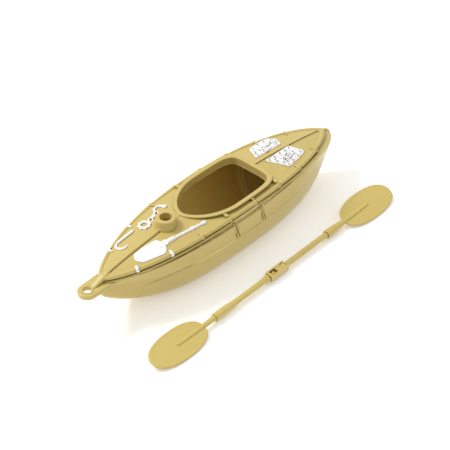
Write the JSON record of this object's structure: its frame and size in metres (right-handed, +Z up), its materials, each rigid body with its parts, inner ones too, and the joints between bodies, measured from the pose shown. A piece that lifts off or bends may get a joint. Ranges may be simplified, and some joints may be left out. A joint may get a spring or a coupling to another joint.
{
  "type": "toy kayak with paddle",
  "caption": "Moulded toy sit-in kayak with an open cockpit, accessory socket, tow tab, silver-painted deck gear and a jointed double-bladed paddle beside it.",
  "frame": {"origin": "on the outside of the keel amidships, where the hull rests on a floor", "axes": "+X towards the stern along the boat, so the bow is at -X; +Y to starboard; +Z up"},
  "size_m": [0.2544, 0.099, 0.0531],
  "materials": {
    "tan_plastic": "moulded semi-gloss olive tan",
    "paddle_plastic": "moulded semi-gloss tan",
    "silver_paint": "satin silver paint on moulded relief"
  },
  "bodies": {
    "kayak": {"hull_shell": "tan_plastic", "deck_shell": "tan_plastic", "cockpit_coaming": "tan_plastic", "gunwale_tube": "tan_plastic", "foredeck_bead": "tan_plastic", "aftdeck_bead": "tan_plastic", "accessory_socket": "tan_plastic", "bow_tow_tab": "tan_plastic", "bow_stem": "tan_plastic", "stern_post": "tan_plastic", "edge_clips": "tan_plastic", "deck_straps": "tan_plastic", "side_ribs": "tan_plastic", "side_panels": "tan_plastic", "cockpit_frames": "tan_plastic", "locating_pins": "tan_plastic", "shovel": "silver_paint", "grapple_hook": "silver_paint", "line_ring": "silver_paint", "line_chain": "silver_paint", "stowed_hook": "silver_paint", "patch_plate_port": "silver_paint", "patch_plate_starboard": "silver_paint", "plate_rivets": "silver_paint", "plate_brackets": "silver_paint"},
    "paddle_joint": {"joint_frame": "paddle_plastic", "hinge_pin": "paddle_plastic"},
    "paddle_left": {"shaft_left": "paddle_plastic", "blade_left": "paddle_plastic"},
    "paddle_right": {"shaft_right": "paddle_plastic", "blade_right": "paddle_plastic"}
  },
  "joints": [
    {"name": "paddle_lift", "type": "slide", "parent": "kayak", "child": "paddle_joint", "axis": [0, 0, 1], "range_m": [0, 0.12]},
    {"name": "feather_swivel", "type": "hinge", "parent": "paddle_joint", "child": "paddle_left", "pos_m": [0.0016, -0.0548, 0.00435], "axis": [0.9998, 0.0192, 0], "continuous": true},
    {"name": "paddle_fold", "type": "hinge", "parent": "paddle_joint", "child": "paddle_right", "pos_m": [0.0097, -0.05464, 0.00435], "axis": [0.0192, -0.9998, 0], "range_deg": [0, 95]}
  ]
}
